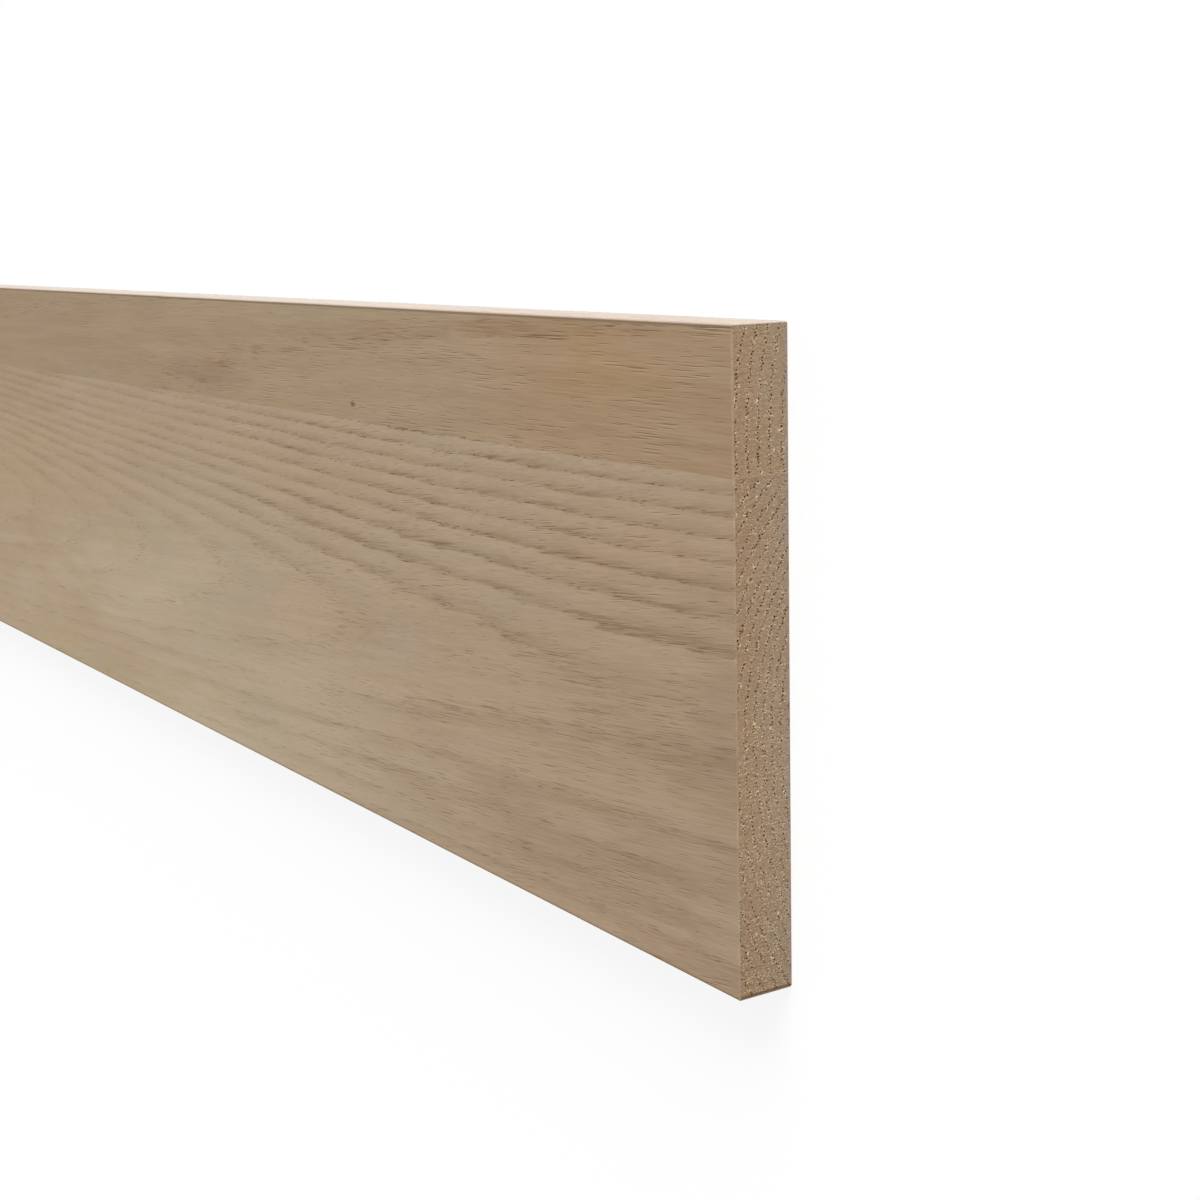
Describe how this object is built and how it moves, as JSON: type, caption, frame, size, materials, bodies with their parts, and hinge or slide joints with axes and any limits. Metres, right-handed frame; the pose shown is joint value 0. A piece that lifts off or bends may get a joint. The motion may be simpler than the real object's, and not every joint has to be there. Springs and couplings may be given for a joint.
{
  "type": "stair riser board",
  "caption": "Flat rectangular hardwood board, edge-glued from staves, with eased arrises and square-sawn ends, that closes the upright face of a stair step.",
  "frame": {"origin": "middle of the underside, on the surface that the board lies on", "axes": "+X along the board's length, +Y across its width towards the edge that meets the tread above, +Z out of the show face"},
  "size_m": [1.0668, 0.1906, 0.0191],
  "materials": {
    "upper_stave_wood": "planed and sanded, unfinished",
    "lower_stave_wood": "planed and sanded, unfinished"
  },
  "bodies": {
    "root": {"upper_stave": "upper_stave_wood", "lower_stave": "lower_stave_wood"}
  },
  "joints": []
}
